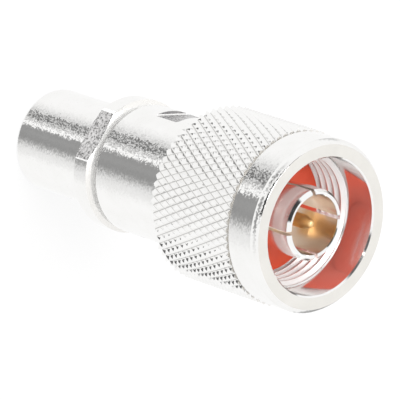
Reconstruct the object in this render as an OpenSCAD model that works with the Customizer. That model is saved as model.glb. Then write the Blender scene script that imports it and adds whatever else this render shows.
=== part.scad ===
// N type plug with clamp fitting for 10 mm coaxial cable.
// Millimetres. The axis is +Z, with the cable end at z = 0 and the mating end up.

/* [Clamp nut] */
// Length of the smooth tail behind the collar
tail_len = 12.65; // [8:0.05:18]
// Diameter of the tail
tail_od = 12.26; // [11.8:0.02:12.6]
// Rounding bevel at the tail's rear edge
tail_bevel = 0.3; // [0.1:0.05:0.5]
// Bore that the cable passes through
cable_bore = 10.6; // [9.6:0.05:10.8]
// Bevel at the bore's rear edge
entry_bevel = 0.2; // [0.1:0.05:0.3]
// Thickness of the collar
collar_len = 2.65; // [1.6:0.05:4]
// How far the collar stands out past the body, all round
collar_proud = 0.34; // [0.1:0.02:0.6]
// Distance across the collar's two wrench flats
collar_flats = 14.8; // [14:0.05:15.2]
// Angle of the collar's first wrench flat
collar_turn = -30; // [-90:1:90]
// Radial width of the collar's two face chamfers
collar_chamfer = 0.55; // [0.2:0.05:0.8]
// Slope of those chamfers from the face
chamfer_slope = 27; // [15:1:45]
// Length of the clamp nut's threaded shank
shank_len = 6.1; // [5:0.05:7]
// Diameter of the threaded shank
shank_od = 13; // [12.8:0.02:13.2]
// Open gap between the collar and the body, as screwed in
clamp_gap = 1.05; // [0.9:0.05:1.5]

/* [Clamp stack] */
// Thickness of the thrust washer
washer_t = 0.6; // [0.4:0.05:1]
// Radial room round the washer, gasket and braid clamp
stack_clear = 0.1; // [0.05:0.01:0.2]
// Length of the rubber cable gasket
gasket_len = 4.2; // [3:0.05:4.6]
// Depth of the V groove in the rubber
vee_depth = 0.9; // [0.4:0.05:1.2]
// Half width of the V groove at its mouth
vee_half = 0.45; // [0.2:0.05:0.5]
// Length of the braid clamp's ring in front of the V
braid_len = 2.2; // [1.4:0.05:2.4]
// Bore of the braid clamp, over the cable's dielectric
braid_bore = 7.9; // [7.4:0.05:8.4]

/* [Body] */
// Length of body seen between the clamp nut's gap and the coupling nut
body_show = 12.85; // [9:0.05:16]
// Outside diameter of the body
body_od = 15.42; // [15.3:0.02:15.6]
// Bevel at the body's rear edge
body_bevel = 0.15; // [0.05:0.05:0.3]
// Distance across the body's two wrench flats
body_flats = 14.5; // [14.2:0.05:15]
// Width of those flats along the axis
flats_w = 4; // [2:0.1:5]
// Plain body left between those flats and the coupling nut
flats_back = 5.4; // [1:0.1:6]
// Depth of the rear chamber in the body
chamber_len = 13.25; // [13:0.05:14]
// Diameter of the hub that carries the front gasket
hub_od = 14.5; // [13:0.05:14.7]
// Length of the hub
hub_len = 2; // [1.7:0.05:2.6]

/* [Coupling nut] */
// Length of the coupling nut
nut_len = 17.6; // [15.6:0.1:22]
// Diameter over the knurl's points
nut_od = 20.9; // [20.4:0.05:23]
// Depth of the knurl
knurl_depth = 0.45; // [0.2:0.05:0.6]
// Number of knurl grooves of each hand
knurl_count = 64; // [40:4:80]
// Axial distance from one diamond to the next
knurl_pitch = 1.97; // [1.6:0.01:3]
// Plain land behind the knurl
rear_land = 0.15; // [0.1:0.05:1]
// Depth of that land below the knurl's roots
land_drop = 0.15; // [0.05:0.05:0.4]
// Width of the undercut in front of the knurl
undercut_w = 0.25; // [0.2:0.05:1]
// Depth of the undercut below the plain ring
undercut_d = 0.35; // [0.1:0.05:0.6]
// Diameter of the plain ring
ring_od = 20.4; // [20:0.05:20.6]
// Length of the plain ring
ring_len = 4.4; // [3:0.1:4.6]
// Outer diameter of the front face
face_od = 19.3; // [18.4:0.05:19.8]
// Length of the front chamfer
face_chamfer = 0.7; // [0.3:0.05:1]
// Smooth bore at the mouth
mouth_bore = 16.1; // [16:0.02:16.4]
// Bevel at the edge of the mouth
mouth_bevel = 0.25; // [0.1:0.05:0.4]
// Depth of the smooth bore
mouth_depth = 4.2; // [3.4:0.1:4.4]
// Bore over the thread's crests, 5/8-24
thread_bore = 14.9; // [14.8:0.02:15]
// Length of the threaded stretch
thread_len = 5; // [4:0.1:5.2]
// Bore of the relief behind the thread
relief_bore = 16.2; // [16:0.05:16.6]
// Radial clearance of the coupling nut on the body
turn_clear = 0.05; // [0.02:0.01:0.1]

/* [Snap ring] */
// Thickness of the snap ring
snap_t = 1; // [0.7:0.05:1.1]
// Outside diameter of the snap ring
snap_od = 16.6; // [16.2:0.05:16.8]
// Inside diameter of the snap ring
snap_bore = 13.7; // [13.5:0.05:14]
// Opening of the snap ring
snap_open = 3; // [1:0.1:5]
// Distance from the coupling nut's rear face to the snap ring
snap_in = 2.3; // [1.5:0.1:2.6]
// Room for the ring in the nut's groove, all round
snap_room = 0.2; // [0.1:0.05:0.25]

/* [Contacts] */
// Distance from the mouth back to the outer contact's tip
sleeve_back = 1; // [0.8:0.1:2]
// Length of the outer contact in front of its hub
sleeve_len = 9.2; // [8:0.1:9.8]
// Diameter of the sleeve behind its head
sleeve_od = 8.1; // [8:0.02:8.2]
// Diameter of the sprung head
head_od = 8.4; // [8.3:0.02:8.6]
// Length of the head
head_len = 2.6; // [1.6:0.1:3]
// Length of the taper behind the head
head_taper = 1.6; // [1:0.1:2]
// Bore of the outer contact
sleeve_bore = 7; // [6.9:0.02:7.1]
// Bevel round the tip
tip_bevel = 0.3; // [0.1:0.02:0.3]
// Width of each of the four slots
slot_w = 0.45; // [0.3:0.05:0.8]
// Length of the slots from the tip
slot_len = 7; // [5:0.1:7.4]
// Angle of the first slot
slot_turn = 12.5; // [0:0.5:89]
// Diameter of the outer contact's flange
flange_od = 11.4; // [10.4:0.05:12]
// Thickness of the flange
flange_t = 1.2; // [0.8:0.05:1.6]
// Diameter of the outer contact's shank in the body
seat_od = 9.2; // [9:0.02:9.6]
// Length of that shank
seat_len = 2; // [1.5:0.05:2.4]
// Distance from the sleeve's tip back to the pin's tip
pin_back = 0.5; // [0.1:0.05:1]
// Diameter of the pin's thin front
pin_od = 1.65; // [1.6:0.01:1.68]
// Length of the pin's thin front
pin_len = 5.5; // [5:0.1:6]
// Length of the pin's pointed nose
nose_len = 1.3; // [0.8:0.1:1.6]
// Diameter of the nose's blunt point
nose_od = 0.58; // [0.3:0.02:0.8]
// Diameter of the pin's stem
stem_od = 3.04; // [3:0.01:3.1]
// Diameter of the pin's shoulder
shoulder_od = 4.4; // [4.2:0.05:4.8]
// Thickness of the pin's shoulder
shoulder_t = 0.8; // [0.6:0.05:1]
// Diameter of the pin's solder cup
cup_od = 3.8; // [3.6:0.05:4]
// Length of the cup behind the shoulder
cup_len = 5.6; // [5:0.1:6]
// Bore of the cup
cup_bore = 2.8; // [2.7:0.02:3]
// Depth of the cup's bore
cup_depth = 4.4; // [3:0.1:4.6]
// Diameter of the solder hole in the cup
solder_hole = 1; // [0.6:0.05:1.2]
// Distance from the cup's rear edge to the hole's middle
solder_at = 2.6; // [1.5:0.1:3.5]

/* [Gasket and insulators] */
// Thickness of the red front gasket
front_gasket_t = 1.8; // [1.2:0.05:2]
// Outside diameter of the front gasket
front_gasket_od = 14.4; // [13:0.05:14.5]
// Room between the front gasket and the sleeve
gasket_clear = 0.05; // [0.02:0.01:0.2]
// Length of the front insulator
bead_len = 4.6; // [3.4:0.1:5]

/* [Hidden] */
$fn = 96;
over = 1;                                       // cutters run past the faces by this
z_collar = tail_len;
z_collar_front = z_collar + collar_len;
z_body = z_collar_front + clamp_gap;            // rear face of the body
z_nut = z_body + body_show;                     // rear face of the coupling nut
z_mouth = z_nut + nut_len;
z_ring = z_mouth - ring_len;
z_shank = z_collar_front + shank_len;           // front end of the clamp nut
z_gasket = z_shank + washer_t;
z_braid = z_gasket + gasket_len;
z_chamber = z_body + chamber_len;               // front wall of the rear chamber
z_tip = z_mouth - sleeve_back;                  // tip of the outer contact
z_hub = z_tip - sleeve_len;                     // front face of the hub
z_seat = z_hub - flange_t - seat_len;           // rear end of the outer contact
z_snap = z_nut + snap_in;
z_pin = z_tip - pin_back;
z_stem = z_pin - pin_len;
z_thread = z_mouth - mouth_depth - (mouth_bore - thread_bore) / 2;
chamber_bore = shank_od + 2 * turn_clear;       // the clamp nut's thread runs in it
stack_od = chamber_bore - 2 * stack_clear;
vee_r = (cable_bore + stack_od) / 4;
knurl_len = nut_len - ring_len - undercut_w - rear_land;
knurl_rows = round(knurl_len / (knurl_pitch / 2));
root_r = nut_od / 2 - knurl_depth;
land_od = 2 * (root_r - land_drop);
collar_od = body_od + 2 * collar_proud;

// a cylinder from z1 to z2
module rod(d, z1, z2) { translate([0, 0, z1]) cylinder(d = d, h = z2 - z1); }
// a cone from z1 to z2
module taper(d1, d2, z1, z2) { translate([0, 0, z1]) cylinder(d1 = d1, d2 = d2, h = z2 - z1); }
// a flat washer or tube
module tube(od, id, z1, z2) { difference() { rod(od, z1, z2); rod(id, z1 - over, z2 + over); } }
// cuts the two flats of a wrench seat
module flats(across, z1, z2) {
  for (s = [0, 180]) rotate([0, 0, s])
    translate([-nut_od, -nut_od - across / 2, z1]) cube([2 * nut_od, nut_od, z2 - z1]);
}

// diamond knurl: groove crossings at the root, a point in the middle of each diamond.
// It is made half a row too long at both ends and cut off square there.
module knurl(z1, z2) {
  n = 2 * knurl_count;
  m = knurl_rows + 1;
  h = (z2 - z1) / knurl_rows;
  function v(i, j) = let (r = (i + j) % 2 == 0 ? root_r : nut_od / 2, a = i * 360 / n)
    [r * cos(a), r * sin(a), z1 + h * (j - 0.5)];
  function at(i, j) = j * n + i % n;
  cells = [for (j = [0:m - 1], i = [0:n - 1], k = [0, 1])
    (i + j) % 2 == 0
      ? (k == 0 ? [at(i, j), at(i + 1, j + 1), at(i + 1, j)] : [at(i, j), at(i, j + 1), at(i + 1, j + 1)])
      : (k == 0 ? [at(i, j), at(i, j + 1), at(i + 1, j)] : [at(i + 1, j), at(i, j + 1), at(i + 1, j + 1)])];
  intersection() {
    rod(nut_od + over, z1, z2);
    polyhedron(points = [for (j = [0:m], i = [0:n - 1]) v(i, j)],
      faces = concat(cells, [[for (i = [0:n - 1]) at(i, 0)], [for (i = [n - 1:-1:0]) at(i, m)]]),
      convexity = 4);
  }
}

module coupling_nut() color("silver") difference() {
  union() {
    knurl(z_nut + rear_land, z_ring - undercut_w);
    rod(land_od, z_nut, z_nut + rear_land + over);
    rod(ring_od - 2 * undercut_d, z_nut + nut_len / 2, z_ring + over);
    rod(ring_od, z_ring, z_mouth - face_chamfer);
    taper(ring_od, face_od, z_mouth - face_chamfer, z_mouth);
  }
  // mouth, lead-in to the thread, thread, relief, bore over the body
  taper(mouth_bore, mouth_bore + 2 * (mouth_bevel + over), z_mouth - mouth_bevel, z_mouth + over);
  rod(mouth_bore, z_mouth - mouth_depth, z_mouth);
  taper(thread_bore, mouth_bore, z_thread, z_mouth - mouth_depth);
  rod(thread_bore, z_thread - thread_len, z_thread + over / 2);
  rod(relief_bore, z_hub - hub_len, z_thread - thread_len);
  rod(body_od + 2 * turn_clear, z_nut - over, z_hub - hub_len + over / 2);
  rod(snap_od + 2 * snap_room, z_snap - snap_room, z_snap + snap_t + snap_room);
}

module body() color("gainsboro") difference() {
  union() {
    taper(body_od - 2 * body_bevel, body_od, z_body, z_body + body_bevel);
    rod(body_od, z_body + body_bevel, z_hub - hub_len);
    rod(hub_od, z_hub - hub_len, z_hub);
  }
  flats(body_flats, z_nut - flats_back - flats_w, z_nut - flats_back);
  // rear chamber, bore for the insulator, seat of the outer contact's flange
  rod(chamber_bore, z_body - over, z_chamber);
  rod(seat_od, z_chamber - over, z_hub);
  rod(flange_od, z_hub - flange_t, z_hub + over);
  // groove for the snap ring
  tube(body_od + over, snap_bore - snap_room / 2, z_snap, z_snap + snap_t + snap_room / 2);
}

module clamp_nut() color("lightgray") difference() {
  union() {
    taper(tail_od - 2 * tail_bevel, tail_od, 0, tail_bevel);
    rod(tail_od, tail_bevel, z_collar + over);
    intersection() {
      rod(collar_od, z_collar, z_collar_front);
      taper(collar_od - 2 * collar_chamfer, collar_od + 2 * collar_od, z_collar,
            z_collar + (collar_chamfer + collar_od) * tan(chamfer_slope));
      taper(collar_od + 2 * collar_od, collar_od - 2 * collar_chamfer,
            z_collar_front - (collar_chamfer + collar_od) * tan(chamfer_slope), z_collar_front);
    }
    rod(shank_od, z_collar_front - over, z_shank);
  }
  rotate([0, 0, collar_turn - 90]) difference() {
    flats(collar_flats, z_collar, z_collar_front);
    rod(tail_od, z_collar - over, z_collar_front + over);
  }
  rod(cable_bore, -over, z_shank + over);
  taper(cable_bore + 2 * (entry_bevel + over), cable_bore, -over, entry_bevel);
}

module thrust_washer() color("goldenrod") tube(stack_od, cable_bore, z_shank, z_gasket);

module cable_gasket() color("dimgray") difference() {
  tube(stack_od, cable_bore, z_gasket, z_braid);
  vee(z_braid);
}

module braid_clamp() color("khaki") union() {
  tube(stack_od, braid_bore, z_braid, z_braid + braid_len);
  vee(z_braid);
}

// ring with a V section, point to the rear, below z
module vee(z) rotate_extrude()
  polygon([[vee_r - vee_half, z], [vee_r, z - vee_depth], [vee_r + vee_half, z]]);

module rear_insulator() color("white") difference() {
  rod(seat_od, z_chamber, z_seat);
  rod(cup_od, z_chamber - over, z_seat + over);
  rod(shoulder_od, z_seat - shoulder_t, z_seat + over);
}

module front_insulator() color("whitesmoke") tube(sleeve_bore, stem_od, z_seat, z_seat + bead_len);

module outer_contact() color("lightsteelblue") difference() {
  union() {
    rod(seat_od, z_seat, z_hub - flange_t);
    rod(flange_od, z_hub - flange_t, z_hub);
    rod(sleeve_od, z_hub, z_tip - head_len - head_taper);
    taper(sleeve_od, head_od, z_tip - head_len - head_taper, z_tip - head_len);
    rod(head_od, z_tip - head_len, z_tip - tip_bevel);
    taper(head_od, head_od - 2 * tip_bevel, z_tip - tip_bevel, z_tip);
  }
  rod(sleeve_bore, z_seat - over, z_tip + over);
  taper(sleeve_bore, sleeve_bore + tip_bevel + over, z_tip - tip_bevel, z_tip + over);
  for (k = [0, 90]) rotate([0, 0, slot_turn + k])
    translate([-head_od, -slot_w / 2, z_tip - slot_len]) cube([2 * head_od, slot_w, slot_len + over]);
}

module contact_pin() color("gold") difference() {
  union() {
    taper(pin_od, nose_od, z_pin - nose_len, z_pin);
    rod(pin_od, z_stem, z_pin - nose_len);
    rod(stem_od, z_seat, z_stem);
    rod(shoulder_od, z_seat - shoulder_t, z_seat);
    rod(cup_od, z_seat - shoulder_t - cup_len, z_seat - shoulder_t);
  }
  rod(cup_bore, z_seat - shoulder_t - cup_len - over, z_seat - shoulder_t - cup_len + cup_depth);
  translate([0, 0, z_seat - shoulder_t - cup_len + solder_at]) rotate([90, 0, 0])
    cylinder(d = solder_hole, h = cup_od);
}

module front_gasket() color("red")
  tube(front_gasket_od, sleeve_od + 2 * gasket_clear, z_hub, z_hub + front_gasket_t);

module snap_ring() color("darkkhaki") difference() {
  tube(snap_od, snap_bore, z_snap, z_snap + snap_t);
  translate([0, -snap_open / 2, z_snap - over]) cube([snap_od, snap_open, snap_t + 2 * over]);
}

body();
coupling_nut();
clamp_nut();
outer_contact();
contact_pin();
front_gasket();
front_insulator();
rear_insulator();
snap_ring();
braid_clamp();
cable_gasket();
thrust_washer();
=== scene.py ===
# N type cable plug: knurled coupling nut on a round body, clamp nut with tail.
# The part stands on its cable end, its axis along +Z, in metres.
import math
import bpy
from mathutils import Matrix, Vector


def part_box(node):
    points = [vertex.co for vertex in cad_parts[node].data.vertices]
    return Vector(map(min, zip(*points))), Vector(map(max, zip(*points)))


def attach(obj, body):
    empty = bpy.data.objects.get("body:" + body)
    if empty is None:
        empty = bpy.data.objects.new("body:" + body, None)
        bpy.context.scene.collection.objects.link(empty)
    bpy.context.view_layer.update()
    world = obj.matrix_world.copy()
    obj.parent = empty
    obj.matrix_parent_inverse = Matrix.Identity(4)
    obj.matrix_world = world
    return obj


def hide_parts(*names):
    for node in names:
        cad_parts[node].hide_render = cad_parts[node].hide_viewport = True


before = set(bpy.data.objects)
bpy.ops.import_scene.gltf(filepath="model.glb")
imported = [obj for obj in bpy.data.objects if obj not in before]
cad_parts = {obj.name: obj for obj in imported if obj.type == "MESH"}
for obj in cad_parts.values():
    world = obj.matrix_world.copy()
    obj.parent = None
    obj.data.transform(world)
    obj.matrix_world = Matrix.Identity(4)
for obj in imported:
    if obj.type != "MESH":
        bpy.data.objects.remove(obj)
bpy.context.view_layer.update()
mm = 0.001
mergeReach = 0.001      # mm, points nearer than this are one point
tightReach = 0.002      # mm, slivers that a bevel leaves
sliverReach = 0.01      # mm, slivers that a cut leaves
bevelFrom = 16.0        # degrees, flatter edges stay as they are
slack = 0.01            # mm, room allowed when faces are picked by place
cloudsPerMm = 0.5       # how fine the faint clouds in each finish are


def clearSelection():
    if bpy.context.mode != "OBJECT":
        bpy.ops.object.mode_set(mode="OBJECT")
    bpy.ops.object.select_all(action="DESELECT")


def editAll():
    bpy.ops.object.mode_set(mode="EDIT")
    bpy.ops.mesh.select_mode(type="VERT")
    bpy.ops.mesh.select_all(action="SELECT")


def makeActive(piece):
    clearSelection()
    piece.select_set(True)
    bpy.context.view_layer.objects.active = piece


def drawProfile(name, points):
    # one point, then its copies pulled out along the section, radius and height in mm
    clearSelection()
    bpy.ops.mesh.primitive_plane_add(size=0.1 * mm)
    piece = bpy.context.object
    piece.name = name
    piece.data.name = name
    editAll()
    bpy.ops.mesh.merge(type="CENTER")
    bpy.ops.transform.translate(value=(points[0][0] * mm, 0, points[0][1] * mm))
    for here, there in zip(points, points[1:]):
        step = ((there[0] - here[0]) * mm, 0, (there[1] - here[1]) * mm)
        bpy.ops.mesh.extrude_vertices_move(TRANSFORM_OT_translate={"value": step})
    return piece


def turnOnLathe(name, points, steps=128):
    # the section is closed and spun round the axis
    piece = drawProfile(name, list(points) + [points[0]])
    bpy.ops.mesh.select_all(action="SELECT")
    bpy.ops.mesh.remove_doubles(threshold=mergeReach * mm)
    bpy.ops.mesh.select_all(action="SELECT")
    bpy.ops.mesh.spin(steps=steps, angle=2 * math.pi, center=(0, 0, 0), axis=(0, 0, 1))
    bpy.ops.mesh.select_all(action="SELECT")
    bpy.ops.mesh.remove_doubles(threshold=mergeReach * mm)
    bpy.ops.mesh.normals_make_consistent(inside=False)
    clearSelection()
    return piece


def addModifier(piece, kind, **settings):
    makeActive(piece)
    bpy.ops.object.modifier_add(type=kind)
    modifier = piece.modifiers[-1]
    for key, value in settings.items():
        setattr(modifier, key, value)
    bpy.ops.object.modifier_apply(modifier=modifier.name)


def cutWith(piece, cutter):
    addModifier(piece, "BOOLEAN", operation="DIFFERENCE", solver="EXACT", object=cutter)
    bpy.data.objects.remove(cutter)


def boxCutter(size, centre, turn=0.0):
    # a box in mm, turned round the part's axis
    clearSelection()
    bpy.ops.mesh.primitive_cube_add(size=mm, scale=size, location=[c * mm for c in centre])
    cutter = bpy.context.object
    bpy.ops.object.transform_apply(location=True, rotation=True, scale=True)
    cutter.rotation_euler = (0, 0, turn)
    bpy.ops.object.transform_apply(location=False, rotation=True, scale=False)
    return cutter


def closeUp(piece, reach):
    # merges points that lie nearer than the reach, and drops the slivers that leaves
    makeActive(piece)
    editAll()
    bpy.ops.mesh.remove_doubles(threshold=reach * mm)
    bpy.ops.mesh.dissolve_degenerate(threshold=reach * mm)
    clearSelection()


def finishPiece(piece, body, nodes, bevel=0.06, smooth=32):
    # breaks the edges, puts the origin at the part's own, and hangs the piece on its body
    if bevel:
        closeUp(piece, sliverReach)
        addModifier(piece, "BEVEL", width=bevel * mm, segments=2, limit_method="ANGLE",
                    angle_limit=math.radians(bevelFrom), use_clamp_overlap=True)
        closeUp(piece, tightReach)
    makeActive(piece)
    bpy.ops.object.transform_apply(location=True, rotation=True, scale=True)
    bpy.ops.object.shade_smooth_by_angle(angle=math.radians(smooth))
    addModifier(piece, "WEIGHTED_NORMAL", mode="FACE_AREA", weight=50, keep_sharp=True)
    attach(piece, body)
    if nodes:
        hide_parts(*nodes)
    print("made", piece.name, len(piece.data.polygons), "faces")


def startMaterial(name):
    material = bpy.data.materials.new(name)
    material.use_nodes = True
    return material, material.node_tree, material.node_tree.nodes["Principled BSDF"]


def noiseOn(tree, perMm, detail):
    place = tree.nodes.new("ShaderNodeTexCoord")
    noise = tree.nodes.new("ShaderNodeTexNoise")
    noise.inputs["Scale"].default_value = perMm / mm
    noise.inputs["Detail"].default_value = detail
    tree.links.new(place.outputs["Object"], noise.inputs["Vector"])
    return noise.outputs["Fac"]


def spread(tree, value, low, high, fromLow=0.3, fromHigh=0.7):
    # a noise mostly lies between 0.3 and 0.7
    mapRange = tree.nodes.new("ShaderNodeMapRange")
    for key, number in (("From Min", fromLow), ("From Max", fromHigh), ("To Min", low), ("To Max", high)):
        mapRange.inputs[key].default_value = number
    tree.links.new(value, mapRange.inputs["Value"])
    return mapRange.outputs["Result"]


def mixColours(tree, value, first, second):
    mix = tree.nodes.new("ShaderNodeMix")
    mix.data_type = "RGBA"
    mix.inputs["A"].default_value = (*first, 1)
    mix.inputs["B"].default_value = (*second, 1)
    tree.links.new(value, mix.inputs["Factor"])
    return mix.outputs["Result"]


def bumpFrom(tree, value, depth):
    bump = tree.nodes.new("ShaderNodeBump")
    bump.inputs["Distance"].default_value = depth * mm
    bump.inputs["Strength"].default_value = 1.0
    tree.links.new(value, bump.inputs["Height"])
    return bump.outputs["Normal"]


def tiltedGrains(tree, normal, perMm, tilt):
    # every grain leans its own way, as tumbled and plated brass does
    place = tree.nodes.new("ShaderNodeTexCoord")
    cells = tree.nodes.new("ShaderNodeTexVoronoi")
    cells.inputs["Scale"].default_value = perMm / mm
    tree.links.new(place.outputs["Object"], cells.inputs["Vector"])
    centred = tree.nodes.new("ShaderNodeVectorMath")
    centred.operation = "SUBTRACT"
    centred.inputs[1].default_value = (0.5, 0.5, 0.5)
    scaled = tree.nodes.new("ShaderNodeVectorMath")
    scaled.operation = "SCALE"
    scaled.inputs["Scale"].default_value = 2 * math.radians(tilt)
    added = tree.nodes.new("ShaderNodeVectorMath")
    added.operation = "ADD"
    unit = tree.nodes.new("ShaderNodeVectorMath")
    unit.operation = "NORMALIZE"
    tree.links.new(cells.outputs["Color"], centred.inputs[0])
    tree.links.new(centred.outputs["Vector"], scaled.inputs[0])
    tree.links.new(scaled.outputs["Vector"], added.inputs[0])
    tree.links.new(normal, added.inputs[1])
    tree.links.new(added.outputs["Vector"], unit.inputs[0])
    return unit.outputs["Vector"]


def paintGrooveShade(tree, colour, bottom, top, level):
    # painted shade: takes the colour down to a level where the surface lies between two radii, so the groove
    # bottoms read shaded
    place = tree.nodes.new("ShaderNodeTexCoord")
    across = tree.nodes.new("ShaderNodeVectorMath")
    across.operation = "MULTIPLY"
    across.inputs[1].default_value = (1, 1, 0)
    radius = tree.nodes.new("ShaderNodeVectorMath")
    radius.operation = "LENGTH"
    tree.links.new(place.outputs["Object"], across.inputs[0])
    tree.links.new(across.outputs["Vector"], radius.inputs[0])
    mix = tree.nodes.new("ShaderNodeMix")
    mix.data_type = "RGBA"
    mix.blend_type = "MULTIPLY"
    mix.inputs["Factor"].default_value = 1
    tree.links.new(colour, mix.inputs["A"])
    tree.links.new(spread(tree, radius.outputs["Value"], level, 1, bottom * mm, top * mm), mix.inputs["B"])
    return mix.outputs["Result"]


def metalFinish(name, pale, dull, rough, grain, lean=None, metallic=1.0, grooveShade=None):
    # pale and dull are mixed in faint clouds; grain is (features per mm, depth in mm),
    # lean is (grains per mm, most tilt in degrees), and the groove shade is (bottom radius, top radius,
    # level) of painted shade in the groove bottoms
    material, tree, shader = startMaterial(name)
    shader.inputs["Metallic"].default_value = metallic
    clouds = noiseOn(tree, cloudsPerMm, detail=8)
    fine = noiseOn(tree, grain[0], detail=2)
    colour = mixColours(tree, spread(tree, clouds, 0, 1), pale, dull)
    # painted shade darkens the colour in the groove bottoms
    if grooveShade:
        colour = paintGrooveShade(tree, colour, *grooveShade)
    tree.links.new(colour, shader.inputs["Base Color"])
    tree.links.new(spread(tree, clouds, rough[0], rough[1]), shader.inputs["Roughness"])
    normal = bumpFrom(tree, fine, grain[1])
    if lean:
        normal = tiltedGrains(tree, normal, *lean)
    tree.links.new(normal, shader.inputs["Normal"])
    return material


silverPlate = metalFinish("silverPlate", pale=(0.96, 0.955, 0.945), dull=(0.93, 0.925, 0.91),
                          rough=(0.03, 0.07), grain=(1.5, 0.006), lean=(5.5, 2.2))
# the knurl's finish has painted shade in its groove bottoms, below radius 10.08 mm
knurlPlate = metalFinish("knurlPlate", pale=(0.97, 0.965, 0.955), dull=(0.95, 0.945, 0.935),
                         rough=(0.05, 0.10), grain=(2.0, 0.003), lean=(5.0, 2.0),
                         grooveShade=(10.0, 10.08, 0.7))
milledFlat = metalFinish("milledFlat", pale=(0.80, 0.79, 0.785), dull=(0.64, 0.63, 0.625),
                         rough=(0.04, 0.08), grain=(3.0, 0.01), lean=(5.0, 9.0))
turnedFace = metalFinish("turnedFace", pale=(0.72, 0.705, 0.67), dull=(0.67, 0.655, 0.62),
                         rough=(0.35, 0.45), grain=(3.0, 0.006), metallic=0.5)
# painted dark reflection: the wrench flats are coloured far darker than the plating they share
cutFlatPaintedDark = metalFinish("cutFlatPaintedDark", pale=(0.42, 0.41, 0.41), dull=(0.27, 0.265, 0.27), rough=(0.06, 0.12),
                      grain=(3.0, 0.02), lean=(5.0, 9.0))
brightEdge = metalFinish("brightEdge", pale=(0.97, 0.965, 0.955), dull=(0.94, 0.935, 0.925),
                         rough=(0.3, 0.4), grain=(3.0, 0.004), metallic=0.3)
collarFace = metalFinish("collarFace", pale=(0.93, 0.915, 0.89), dull=(0.90, 0.885, 0.86),
                         rough=(0.25, 0.35), grain=(3.0, 0.004), metallic=0.8)
mirrorBore = metalFinish("mirrorBore", pale=(0.95, 0.945, 0.935), dull=(0.92, 0.915, 0.905),
                         rough=(0.08, 0.12), grain=(1.2, 0.001), metallic=0.94)
satinSilver = metalFinish("satinSilver", pale=(0.95, 0.94, 0.93), dull=(0.92, 0.91, 0.90),
                          rough=(0.22, 0.3), grain=(1.5, 0.002))
# painted reflection: the thread's pink tint stands in for the red gasket it mirrors
threadPaintedReflection = metalFinish("threadPaintedReflection", pale=(0.95, 0.91, 0.895), dull=(0.91, 0.87, 0.855),
                           rough=(0.32, 0.42), grain=(1.5, 0.002), metallic=0.7)
# painted reflection: the sleeve's pink tint stands in for the red gasket it mirrors
sleevePaintedReflection = metalFinish("sleevePaintedReflection", pale=(0.97, 0.905, 0.885), dull=(0.94, 0.875, 0.855),
                           rough=(0.20, 0.27), grain=(1.0, 0.001))
polishedTip = metalFinish("polishedTip", pale=(0.97, 0.965, 0.96), dull=(0.95, 0.945, 0.94),
                          rough=(0.04, 0.07), grain=(1.0, 0.001))
# painted reflection: the bore's warm tint stands in for the gold pin and red gasket it mirrors
borePaintedReflection = metalFinish("borePaintedReflection", pale=(0.95, 0.83, 0.73), dull=(0.91, 0.78, 0.68), rough=(0.19, 0.26),
                       grain=(1.5, 0.002))
goldPlate = metalFinish("goldPlate", pale=(0.97, 0.69, 0.35), dull=(0.94, 0.63, 0.30), rough=(0.34, 0.42),
                        grain=(3.0, 0.003))
springBronze = metalFinish("springBronze", pale=(0.72, 0.50, 0.28), dull=(0.60, 0.40, 0.22),
                           rough=(0.25, 0.4), grain=(5.0, 0.006))
plainBrass = metalFinish("plainBrass", pale=(0.80, 0.64, 0.32), dull=(0.70, 0.54, 0.26), rough=(0.2, 0.35),
                         grain=(6.0, 0.006))


def softFinish(name, light, dark, rough, grain, sheen=0.0):
    material, tree, shader = startMaterial(name)
    clouds = noiseOn(tree, cloudsPerMm, detail=3)
    tree.links.new(mixColours(tree, spread(tree, clouds, 0, 1), light, dark), shader.inputs["Base Color"])
    tree.links.new(spread(tree, clouds, rough[0], rough[1]), shader.inputs["Roughness"])
    fine = noiseOn(tree, grain[0], detail=3)
    tree.links.new(bumpFrom(tree, fine, grain[1]), shader.inputs["Normal"])
    shader.inputs["Sheen Weight"].default_value = sheen
    return material


redSilicone = softFinish("redSilicone", light=(0.80, 0.105, 0.045), dark=(0.73, 0.09, 0.04),
                         rough=(0.42, 0.55), grain=(9.0, 0.006), sheen=0.1)
turnedPtfe = softFinish("turnedPtfe", light=(0.90, 0.90, 0.88), dark=(0.85, 0.85, 0.83), rough=(0.4, 0.55),
                        grain=(5.0, 0.004))
blackRubber = softFinish("blackRubber", light=(0.03, 0.03, 0.03), dark=(0.045, 0.045, 0.045),
                         rough=(0.6, 0.75), grain=(8.0, 0.01))
print("materials ready")


def levelsOf(node):
    low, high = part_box(node)
    return low.z / mm, high.z / mm


def finishFaces(piece, materials, finishOf):
    # finishOf gives a face's own material
    for face in piece.data.polygons:
        face.material_index = materials.index(finishOf(face))


def addMaterials(piece, *materials):
    for material in materials:
        piece.data.materials.append(material)
    return list(materials)


toothShape = {"rootShare": 0.42, "crestFlat": 0.14, "stepsPerTurn": 96}     # share of the pitch, mm, steps


def makeThread(name, crest, root, low, high, pitch, body, material):
    # one tooth section, swept round the axis by the screw modifier
    half, flat = pitch * toothShape["rootShare"], toothShape["crestFlat"]
    tooth = [(root, -half), (crest, -flat / 2), (crest, flat / 2), (root, half)]
    piece = drawProfile(name, [(r, z + low) for r, z in tooth] + [(tooth[0][0], tooth[0][1] + low)])
    bpy.ops.mesh.select_all(action="SELECT")
    bpy.ops.mesh.remove_doubles(threshold=mergeReach * mm)
    clearSelection()
    turns = (high - low) / pitch
    steps = round(toothShape["stepsPerTurn"] * turns)
    addModifier(piece, "SCREW", axis="Z", angle=2 * math.pi * turns, screw_offset=(high - low) * mm,
                steps=steps, render_steps=steps, use_merge_vertices=False)
    makeActive(piece)
    editAll()
    bpy.ops.mesh.select_all(action="DESELECT")
    bpy.ops.mesh.select_non_manifold(extend=False)
    bpy.ops.mesh.edge_face_add()
    bpy.ops.mesh.select_all(action="SELECT")
    bpy.ops.mesh.remove_doubles(threshold=mergeReach * mm)
    bpy.ops.mesh.normals_make_consistent(inside=False)
    clearSelection()
    addMaterials(piece, material)
    finishPiece(piece, body, [], bevel=0, smooth=25)


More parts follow.
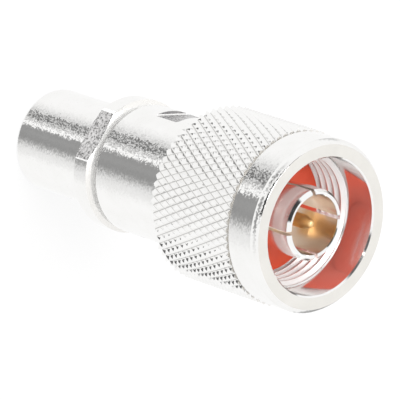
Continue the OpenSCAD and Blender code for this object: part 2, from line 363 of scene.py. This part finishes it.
couplingNut = {
    "knurlColumns": 256, "knurlRows": 26, "knurlStep": 4,
    "knurlRoot": 10.0, "knurlShoulder": 10.27, "knurlPoint": 10.45,
    "rearLand": 0.15, "landRadius": 9.85, "undercut": 0.25, "ringLength": 4.4, "ringRadius": 10.2,
    "chamfer": 0.7, "faceRadius": 9.65, "edge": 0.05, "soft": 0.03,
    "mouthRadius": 8.05, "mouthBevel": 0.18, "mouthDepth": 4.2, "bodyBore": 7.76,
    "crestRadius": 7.45, "valleyRadius": 7.9, "threadLength": 5.0, "pitch": 1.058,
    "threadEntry": 0.15, "threadRunOut": 0.1, "ridgeSink": 0.08, "ridgeAhead": 0.25,
    "reliefRadius": 8.1, "reliefBehind": 5.4, "grooveRadius": 8.5, "grooveBehind": 2.1, "grooveWidth": 1.4,
}


def cutKnurl(piece, low, high, size):
    # the plain band is pulled in along two hands of grooves, one at every few columns and rows
    columns, step = size["knurlColumns"], size["knurlStep"]
    rowHeight = (high - low) / size["knurlRows"]
    reach = (size["ringRadius"] + size["knurlPoint"]) / 2                       # only the band is wider
    radii = (size["knurlRoot"], size["knurlShoulder"], size["knurlPoint"])      # by steps from a groove
    levels = {radius: [] for radius in radii}
    for vertex in piece.data.vertices:
        x, y, z = (c / mm for c in vertex.co)
        if math.hypot(x, y) < reach:
            continue
        column = round(math.atan2(y, x) / (2 * math.pi) * columns)
        row = round((z - low) / rowHeight)
        rising, falling = (column + row) % step, (column - row) % step
        fromGroove = min(rising, step - rising, falling, step - falling)
        levels[radii[fromGroove]].append(vertex.index)
    for radius, members in levels.items():
        makeActive(piece)
        editAll()
        bpy.ops.mesh.select_all(action="DESELECT")
        bpy.ops.object.mode_set(mode="OBJECT")
        for index in members:
            piece.data.vertices[index].select = True
        bpy.ops.object.mode_set(mode="EDIT")
        share = radius / size["knurlPoint"]
        bpy.ops.transform.resize(value=(share, share, 1), center_override=(0, 0, 0))
        bpy.ops.object.mode_set(mode="OBJECT")
    # split along the grooves, so that they stay straight; the nut's end faces are left whole
    for face in piece.data.polygons:
        radius, level = face.center.xy.length / mm, face.center.z / mm
        face.select = radius > size["landRadius"] and low < level < high and abs(face.normal.z) < 0.8
    makeActive(piece)
    bpy.ops.object.mode_set(mode="EDIT")
    bpy.ops.mesh.select_mode(type="FACE")
    bpy.ops.mesh.quads_convert_to_tris(quad_method="SHORTEST_DIAGONAL")
    bpy.ops.object.mode_set(mode="OBJECT")


def makeCouplingNut():
    size = couplingNut
    rear, mouth = levelsOf("coupling_nut")
    ring = mouth - size["ringLength"]
    knurlLow, knurlHigh = rear + size["rearLand"], ring - size["undercut"]
    rows = size["knurlRows"]
    leadIn = mouth - size["mouthDepth"]
    threadTop = leadIn - (size["mouthRadius"] - size["crestRadius"])
    threadEnd = threadTop - size["threadLength"]
    groove = rear + size["grooveBehind"]
    edge, soft, point = size["edge"], size["soft"], size["knurlPoint"]
    section = [(size["landRadius"], rear), (size["landRadius"], knurlLow)]
    section += [(point, knurlLow + (knurlHigh - knurlLow) * k / rows) for k in range(rows + 1)]
    section += [
        (size["landRadius"], knurlHigh), (size["landRadius"], ring),
        (size["ringRadius"] - edge, ring), (size["ringRadius"], ring + edge),
        (size["ringRadius"], mouth - size["chamfer"] - edge),
        (size["ringRadius"] - soft, mouth - size["chamfer"] + edge),
        (size["faceRadius"] + soft, mouth - soft), (size["faceRadius"] - soft / 3, mouth),
        (size["mouthRadius"] + size["mouthBevel"], mouth),
        (size["mouthRadius"], mouth - size["mouthBevel"]),
        (size["mouthRadius"], leadIn), (size["valleyRadius"], leadIn - size["threadEntry"]),
        (size["valleyRadius"], threadEnd + size["threadRunOut"]), (size["reliefRadius"], threadEnd),
        (size["reliefRadius"], rear + size["reliefBehind"]), (size["bodyBore"], rear + size["reliefBehind"]),
        (size["bodyBore"], groove + size["grooveWidth"]),
        (size["grooveRadius"], groove + size["grooveWidth"]), (size["grooveRadius"], groove),
        (size["bodyBore"], groove), (size["bodyBore"], rear + edge), (size["bodyBore"] + edge, rear),
    ]
    nut = turnOnLathe("couplingNut", section, size["knurlColumns"])
    cutKnurl(nut, knurlLow, knurlHigh, size)
    materials = addMaterials(nut, silverPlate, turnedFace, mirrorBore, satinSilver, knurlPlate, collarFace)
    finishPiece(nut, "coupling", ["coupling_nut"], bevel=0, smooth=28)

    def finishOf(face):
        radius, level = face.center.xy.length / mm, face.center.z / mm
        if face.normal.z > 0.95 and level > mouth - edge:
            return turnedFace
        if radius < size["mouthRadius"] + size["mouthBevel"] and level > leadIn:
            return mirrorBore
        if radius < size["grooveRadius"] and level < leadIn + slack:
            return satinSilver
        if knurlLow < level < knurlHigh - slack and abs(face.normal.z) < 0.9:
            return knurlPlate
        if knurlHigh - slack < level < ring + slack:
            return collarFace
        return silverPlate

    finishFaces(nut, materials, finishOf)
    makeThread("couplingThread", size["crestRadius"], size["valleyRadius"] + size["ridgeSink"],
               threadEnd + size["ridgeAhead"], threadTop + size["ridgeAhead"], size["pitch"], "coupling",
               threadPaintedReflection)


makeCouplingNut()

plugBody = {
    "radius": 7.71, "hubRadius": 7.25, "hubLength": 2.0, "chamberRadius": 6.55,
    "chamberDepth": 13.25, "seatRadius": 4.6, "flangeRadius": 5.7, "flangeDepth": 1.2,
    "grooveRadius": 6.8, "grooveBehind": 15.15, "grooveWidth": 1.1,
    "flatHalf": 7.22, "flatLow": 3.5, "flatWidth": 3.9, "corner": 0.13,
    "cutterLength": 20.0, "cutterDepth": 2.0, "bevel": 0.15, "edge": 0.06,
}


def makeBody():
    size = plugBody
    rear, front = levelsOf("body")
    hub = front - size["hubLength"]
    wall = rear + size["chamberDepth"]
    groove = rear + size["grooveBehind"]
    section = [
        (size["chamberRadius"], rear), (size["radius"] - size["bevel"], rear),
        (size["radius"], rear + size["bevel"]),
        (size["radius"], groove), (size["grooveRadius"], groove),
        (size["grooveRadius"], groove + size["grooveWidth"]),
        (size["radius"], groove + size["grooveWidth"]),
        (size["radius"], hub), (size["hubRadius"], hub), (size["hubRadius"], front),
        (size["flangeRadius"], front), (size["flangeRadius"], front - size["flangeDepth"]),
        (size["seatRadius"], front - size["flangeDepth"]), (size["seatRadius"], wall),
        (size["chamberRadius"], wall),
    ]
    piece = turnOnLathe("plugBody", section)
    low, width = rear + size["flatLow"], size["flatWidth"]
    depth = size["cutterDepth"]
    for side in (1, -1):
        centre = (0, side * (size["flatHalf"] + depth / 2), low + width / 2)
        cutter = boxCutter((size["cutterLength"], depth, width), centre)
        addModifier(cutter, "BEVEL", width=size["corner"] * mm, segments=1)
        cutWith(piece, cutter)
    materials = addMaterials(piece, silverPlate, cutFlatPaintedDark, brightEdge)
    finishPiece(piece, "shell", ["body"], bevel=size["edge"])
    near = size["edge"] + 2 * slack

    def finishOf(face):
        radius, level, side = face.center.xy.length / mm, face.center.z / mm, abs(face.center.y / mm)
        if face.normal.z < -0.9 and level < rear + slack:
            return brightEdge
        inFlat = low - near < level < low + width + near and size["flatHalf"] - near < side
        if not inFlat or radius > size["radius"] - slack / 2:
            return silverPlate
        # the flat faces get the painted dark reflection
        return cutFlatPaintedDark if max(abs(face.normal.y), abs(face.normal.z)) > 0.99 else brightEdge

    finishFaces(piece, materials, finishOf)


makeBody()

clampNut = {
    "tailRadius": 6.13, "tailBevel": 0.3, "tailRound": 0.1, "bore": 5.3, "entryBevel": 0.2,
    "collarLow": 12.65, "collarLength": 2.65, "collarRadius": 8.05, "collarChamfer": 0.55,
    "chamferSlope": 27.0, "edge": 0.08,
    "flatHalf": 7.4, "flatTurn": -30.0, "cutterLength": 20.0, "cutterOver": 0.4,
    "shankRadius": 6.5, "shankValley": 6.12, "shankBevel": 0.3, "reliefLength": 1.6, "pitch": 1.0,
    "ridgeSink": 0.05, "ridgeStop": 0.6,
}


def makeClampNut():
    size = clampNut
    rear, front = levelsOf("clamp_nut")
    low = size["collarLow"]
    high = low + size["collarLength"]
    rise = size["collarChamfer"] * math.tan(math.radians(size["chamferSlope"]))
    section = [
        (size["bore"] + size["entryBevel"], rear), (size["tailRadius"] - size["tailBevel"], rear),
        (size["tailRadius"] - size["tailRound"], rear + size["tailRound"]),
        (size["tailRadius"], rear + size["tailBevel"]),
        (size["tailRadius"], low),
        (size["collarRadius"] - size["collarChamfer"], low), (size["collarRadius"], low + rise),
        (size["collarRadius"], high - rise), (size["collarRadius"] - size["collarChamfer"], high),
        (size["shankValley"], high), (size["shankValley"], front - size["shankBevel"]),
        (size["shankValley"] - size["shankBevel"], front),
        (size["bore"], front), (size["bore"], rear + size["entryBevel"]),
    ]
    piece = turnOnLathe("clampNut", section)
    turn = math.radians(size["flatTurn"])
    depth = size["flatHalf"] - size["tailRadius"]
    cutterSize = (depth, size["cutterLength"], high - low + size["cutterOver"])
    centre = (size["flatHalf"] + depth / 2, 0, (low + high) / 2)
    for side in (0, math.pi):
        cutWith(piece, boxCutter(cutterSize, centre, turn + side))
    materials = addMaterials(piece, silverPlate, milledFlat, collarFace, brightEdge)
    finishPiece(piece, "clamp", ["clamp_nut"], bevel=size["edge"])
    flatAim = Vector((math.cos(turn), math.sin(turn), 0))

    def finishOf(face):
        level = face.center.z / mm
        outBy = abs(face.center.dot(flatAim)) / mm - size["flatHalf"]
        squareOn = abs(face.normal.dot(flatAim))
        if squareOn > 0.995 and outBy > -2 * slack and low < level < high and face.area > mm * mm:
            return milledFlat
        nearEdge = -size["edge"] - 2 * slack < outBy < slack / 2
        if 0.5 < squareOn < 0.995 and nearEdge and low - slack < level < high + slack:
            return brightEdge
        if face.normal.z > 0.9 and abs(level - high) < 2 * slack:
            return brightEdge
        if face.normal.z > 0.5 and level > high - rise - size["edge"]:
            return collarFace
        return silverPlate

    finishFaces(piece, materials, finishOf)
    makeThread("clampThread", size["shankRadius"], size["shankValley"] - size["ridgeSink"],
               high + size["reliefLength"], front - size["ridgeStop"], size["pitch"], "clamp", silverPlate)


makeClampNut()

outerContact = {
    "boreRadius": 3.5, "sleeveRadius": 4.03, "sleeveLength": 9.2, "headRadius": 4.2, "headLength": 2.6,
    "flangeRadius": 5.7, "flangeThick": 1.2, "seatRadius": 4.6,
    "slotWidth": 0.45, "slotLength": 7.0, "slotTurn": 12.5, "cutterLength": 12.0, "cutterOver": 1.0,
    # rounded stretches, each point (outwards, forwards) from the head's start, or from the tip
    "taper": [(-0.17, -1.65), (-0.16, -1.52), (-0.02, -0.1), (0, 0.1)],
    "tipRound": [(0, -0.4), (-0.02, -0.3), (-0.3, -0.02), (-0.37, 0)],
    "boreRound": [(0.2, 0), (0.12, -0.02), (0.03, -0.11), (0, -0.22)],
}


def makeOuterContact():
    size = outerContact
    seat, tip = levelsOf("outer_contact")
    hub = tip - size["sleeveLength"]
    head = tip - size["headLength"]
    section = [
        (size["boreRadius"], seat), (size["seatRadius"], seat),
        (size["seatRadius"], hub - size["flangeThick"]), (size["flangeRadius"], hub - size["flangeThick"]),
        (size["flangeRadius"], hub), (size["sleeveRadius"], hub),
    ]
    section += [(size["headRadius"] + out, head + ahead) for out, ahead in size["taper"]]
    section += [(size["headRadius"] + out, tip + ahead) for out, ahead in size["tipRound"]]
    section += [(size["boreRadius"] + out, tip + ahead) for out, ahead in size["boreRound"]]
    piece = turnOnLathe("outerContact", section)
    cutterSize = (size["cutterLength"], size["slotWidth"], size["slotLength"] + size["cutterOver"])
    centre = (0, 0, tip + (size["cutterOver"] - size["slotLength"]) / 2)
    for turn in (size["slotTurn"], size["slotTurn"] + 90):
        cutWith(piece, boxCutter(cutterSize, centre, math.radians(turn)))
    materials = addMaterials(piece, sleevePaintedReflection, borePaintedReflection, polishedTip)
    finishPiece(piece, "shell", ["outer_contact"], bevel=0, smooth=24)

    def finishOf(face):
        radius, level = face.center.xy.length / mm, face.center.z / mm
        if radius < size["boreRadius"] + 2 * slack and level < tip + size["boreRound"][-1][1]:
            return borePaintedReflection
        return polishedTip if level > tip + size["tipRound"][0][1] else sleevePaintedReflection

    finishFaces(piece, materials, finishOf)


makeOuterContact()

contactPin = {
    "radius": 0.825, "frontLength": 5.5, "stemRadius": 1.52, "shoulderRadius": 2.2, "shoulderThick": 0.8,
    "cupRadius": 1.9, "cupLength": 5.6, "cupBore": 1.4, "cupDepth": 4.4,
    "solderHole": 1.0, "solderPlace": 2.6, "solderReach": 4.0, "edge": 0.04, "sides": 64,
    # the nose, each point (radius, how far back from the tip)
    "nose": [(0.825, 1.4), (0.795, 1.18), (0.43, 0.22), (0.31, 0.06), (0.17, 0)],
}


def makeContactPin():
    size = contactPin
    rear, tip = levelsOf("contact_pin")
    shoulder = rear + size["cupLength"]
    stem = shoulder + size["shoulderThick"]
    section = [
        (0, rear + size["cupDepth"]), (size["cupBore"], rear + size["cupDepth"]), (size["cupBore"], rear),
        (size["cupRadius"], rear), (size["cupRadius"], shoulder), (size["shoulderRadius"], shoulder),
        (size["shoulderRadius"], stem), (size["stemRadius"], stem),
        (size["stemRadius"], tip - size["frontLength"]), (size["radius"], tip - size["frontLength"]),
    ]
    section += [(radius, tip - back) for radius, back in size["nose"]] + [(0, tip)]
    piece = turnOnLathe("contactPin", section, size["sides"])
    reach = size["solderReach"] * mm
    place = (0, -reach / 2, (rear + size["solderPlace"]) * mm)
    clearSelection()
    bpy.ops.mesh.primitive_cylinder_add(vertices=32, radius=size["solderHole"] / 2 * mm, depth=reach,
                                        rotation=(math.pi / 2, 0, 0), location=place)
    cutWith(piece, bpy.context.object)
    addMaterials(piece, goldPlate)
    finishPiece(piece, "shell", ["contact_pin"], bevel=size["edge"])


makeContactPin()

frontGasket = {"outer": 7.2, "inner": 4.05, "rim": 0.02, "edge": 0.03}


def makeFrontGasket():
    size = frontGasket
    low, high = levelsOf("front_gasket")
    section = [(size["inner"], low), (size["outer"], low), (size["outer"], high - size["rim"]),
               (size["outer"] - size["rim"], high), (size["inner"], high)]
    piece = turnOnLathe("frontGasket", section)
    addMaterials(piece, redSilicone)
    finishPiece(piece, "shell", ["front_gasket"], bevel=size["edge"])


makeFrontGasket()

hiddenFinishes = {
    "front_insulator": turnedPtfe, "rear_insulator": turnedPtfe, "snap_ring": springBronze,
    "braid_clamp": plainBrass, "cable_gasket": blackRubber, "thrust_washer": plainBrass,
}
for node, material in hiddenFinishes.items():
    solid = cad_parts[node]
    solid.data.materials.clear()
    solid.data.materials.append(material)
print("pieces ready")

studio = {
    "floorSize": 4.0, "floorColour": (0.95, 0.95, 0.95, 1), "floorRough": 0.9, "shadow": 0.25,
    "worldStrength": 0.95, "tentStrength": 1.3, "openLevel": 0.76,
    # what metal sees round about, by degrees from +X
    "tent": [(-180, 0.74), (-146, 0.74), (-140, 0.52), (-128, 0.48), (-122, 0.74), (-80, 0.70), (-72, 0.64),
             (-67, 0.48), (-63.5, 0.66), (-60, 0.14), (-57, 0.16), (-54, 0.62), (-51, 0.12), (-48, 0.14),
             (-45.5, 0.70), (-42.5, 0.20), (-39.5, 0.76), (-36.5, 0.36), (-33.5, 0.82), (-29, 0.80),
             (-25.5, 0.30), (-22, 0.24), (-12, 0.265), (0, 0.235), (8, 0.29), (16, 0.49), (24, 0.63),
             (50, 0.74), (130, 0.75), (136, 0.30), (148, 0.26), (154, 0.78)],
    # how much of it shows, from -1 straight down to 1 straight up: in front low down and again
    # above the level, behind only a little under it
    "frontReach": [(-1, 0), (-0.86, 0), (-0.80, 1), (-0.62, 1), (-0.54, 0), (0.25, 0), (0.33, 1), (0.47, 1),
                   (0.52, 0)],
    "backReach": [(-1, 0), (-0.58, 0), (-0.5, 1), (-0.2, 1), (-0.1, 0)],
    "backAims": [(-0.5, 0.866, 0), (-0.94, -0.342, 0)], "backEdge": (0.1, 0.25),
    # dark places: right below the part, and beside the lens
    "foot": (0.062, 0.115, -0.991), "footEdge": (0.972, 0.984), "footLevel": 0.10,
    "lensAcross": [(-180, 0), (-112, 0), (-100, 1), (-4, 1), (4, 0)],
    "lensHeight": [(-1, 0), (0.595, 0), (0.62, 1), (0.78, 1), (0.82, 0)], "lensLevel": 0.04,
}


def makeFloor():
    clearSelection()
    bpy.ops.mesh.primitive_grid_add(x_subdivisions=4, y_subdivisions=4, size=studio["floorSize"])
    floor = bpy.context.object
    floor.name = "paleFloor"
    material, tree, shader = startMaterial("paleFloor")
    shader.inputs["Base Color"].default_value = studio["floorColour"]
    shader.inputs["Roughness"].default_value = studio["floorRough"]
    glow = tree.nodes.new("ShaderNodeEmission")
    paths = tree.nodes.new("ShaderNodeLightPath")
    mix = tree.nodes.new("ShaderNodeMixShader")
    share = tree.nodes.new("ShaderNodeMath")
    share.operation = "MULTIPLY"
    share.inputs[1].default_value = 1 - studio["shadow"]
    tree.links.new(paths.outputs["Is Camera Ray"], share.inputs[0])
    tree.links.new(share.outputs["Value"], mix.inputs["Fac"])
    tree.links.new(shader.outputs["BSDF"], mix.inputs[1])
    tree.links.new(glow.outputs["Emission"], mix.inputs[2])
    output = tree.nodes["Material Output"]
    tree.links.new(mix.outputs["Shader"], output.inputs["Surface"])
    floor.data.materials.append(material)
    floor.visible_glossy = False


def ramp(tree, value, marks, low, high):
    # grey levels at given places between low and high
    node = tree.nodes.new("ShaderNodeValToRGB")
    stops = node.color_ramp.elements
    while len(stops) < len(marks):
        stops.new(0.5)
    for stop, (place, level) in zip(sorted(stops, key=lambda each: each.position), marks):
        stop.position = (place - low) / (high - low)
        stop.color = (level, level, level, 1)
    tree.links.new(value, node.inputs["Fac"])
    return node.outputs["Color"]


def blendLevels(tree, amount, below, above):
    # below and above are either a level or what another node gives
    mix = tree.nodes.new("ShaderNodeMix")
    mix.data_type = "RGBA"
    for key, given in (("A", below), ("B", above)):
        if isinstance(given, float):
            mix.inputs[key].default_value = (given, given, given, 1)
        else:
            tree.links.new(given, mix.inputs[key])
    tree.links.new(amount, mix.inputs["Factor"])
    return mix.outputs["Result"]


def facing(tree, direction, aim, edge):
    # 1 where the direction points along the aim, 0 away from it
    dot = tree.nodes.new("ShaderNodeVectorMath")
    dot.operation = "DOT_PRODUCT"
    dot.inputs[1].default_value = aim
    tree.links.new(direction, dot.inputs[0])
    return spread(tree, dot.outputs["Value"], 0, 1, *edge)


def makeWorld():
    # white all round; metal also sees a few darker uprights, as in a studio tent
    world = bpy.data.worlds.new("studioTent")
    bpy.context.scene.world = world
    world.use_nodes = True
    tree = world.node_tree
    background = tree.nodes["Background"]
    background.inputs["Color"].default_value = (1, 1, 1, 1)
    background.inputs["Strength"].default_value = studio["worldStrength"]
    white = tree.nodes.new("ShaderNodeBackground")
    white.inputs["Color"].default_value = (1, 1, 1, 1)
    direction = tree.nodes.new("ShaderNodeTexCoord").outputs["Generated"]
    radial = tree.nodes.new("ShaderNodeTexGradient")
    radial.gradient_type = "RADIAL"                     # 0.5 lies along +X, and it grows towards +Y
    tree.links.new(direction, radial.inputs["Vector"])
    split = tree.nodes.new("ShaderNodeSeparateXYZ")
    tree.links.new(direction, split.inputs["Vector"])
    height = spread(tree, split.outputs["Z"], 0, 1, -1, 1)
    around = tree.nodes.new("ShaderNodeMath")
    around.operation = "MAXIMUM"
    for socket, aim in zip(around.inputs, studio["backAims"]):
        tree.links.new(facing(tree, direction, aim, studio["backEdge"]), socket)
    reach = blendLevels(tree, around.outputs["Value"], ramp(tree, height, studio["frontReach"], -1, 1),
                        ramp(tree, height, studio["backReach"], -1, 1))
    tent = ramp(tree, radial.outputs["Fac"], studio["tent"], -180, 180)
    walls = blendLevels(tree, reach, studio["openLevel"], tent)
    foot = facing(tree, direction, studio["foot"], studio["footEdge"])
    walls = blendLevels(tree, foot, walls, studio["footLevel"])
    lens = tree.nodes.new("ShaderNodeMath")
    lens.operation = "MULTIPLY"
    tree.links.new(ramp(tree, radial.outputs["Fac"], studio["lensAcross"], -180, 180), lens.inputs[0])
    tree.links.new(ramp(tree, height, studio["lensHeight"], -1, 1), lens.inputs[1])
    walls = blendLevels(tree, lens.outputs["Value"], walls, studio["lensLevel"])
    uprights = tree.nodes.new("ShaderNodeBackground")
    uprights.inputs["Strength"].default_value = studio["tentStrength"]
    tree.links.new(walls, uprights.inputs["Color"])
    paths = tree.nodes.new("ShaderNodeLightPath")
    forMetal = tree.nodes.new("ShaderNodeMixShader")
    forCamera = tree.nodes.new("ShaderNodeMixShader")
    tree.links.new(paths.outputs["Is Glossy Ray"], forMetal.inputs["Fac"])
    tree.links.new(background.outputs["Background"], forMetal.inputs[1])
    tree.links.new(uprights.outputs["Background"], forMetal.inputs[2])
    tree.links.new(paths.outputs["Is Camera Ray"], forCamera.inputs["Fac"])
    tree.links.new(forMetal.outputs["Shader"], forCamera.inputs[1])
    tree.links.new(white.outputs["Background"], forCamera.inputs[2])
    tree.links.new(forCamera.outputs["Shader"], tree.nodes["World Output"].inputs["Surface"])


keyLamp = {"place": (0.12, -0.2, 0.6), "aim": (0, 0, 0.03), "size": 0.4, "power": 2.2}


def makeLamp(name, setup):
    clearSelection()
    bpy.ops.object.light_add(type="AREA", location=setup["place"])
    lamp = bpy.context.object
    lamp.name = name
    lamp.data.size = setup["size"]
    lamp.data.energy = setup["power"]
    towards = Vector(setup["aim"]) - Vector(setup["place"])
    lamp.rotation_euler = towards.to_track_quat("-Z", "Y").to_euler()


cameraSetup = {"azimuth": -15.703, "elevation": 45.6175, "roll": 108.536, "distance": 0.566,
               "aim": (0.00981, -0.00127, 0.03679), "lens": 450, "sensor": 36, "nearest": 0.01}


def makeCamera():
    azimuth, elevation = math.radians(cameraSetup["azimuth"]), math.radians(cameraSetup["elevation"])
    away = Vector((math.cos(elevation) * math.cos(azimuth), math.cos(elevation) * math.sin(azimuth),
                   math.sin(elevation)))
    clearSelection()
    bpy.ops.object.camera_add(location=Vector(cameraSetup["aim"]) + away * cameraSetup["distance"])
    camera = bpy.context.object
    level = Matrix.Rotation(azimuth + math.pi / 2, 3, "Z") @ Matrix.Rotation(math.pi / 2 - elevation, 3, "X")
    rolled = level @ Matrix.Rotation(math.radians(cameraSetup["roll"]), 3, "Z")
    camera.rotation_euler = rolled.to_euler()
    camera.data.lens = cameraSetup["lens"]
    camera.data.sensor_width = cameraSetup["sensor"]
    camera.data.clip_start = cameraSetup["nearest"]
    bpy.context.scene.camera = camera


makeFloor()
makeWorld()
makeLamp("keyLamp", keyLamp)
makeCamera()
bpy.context.scene.view_settings.view_transform = "Standard"
print("studio ready")
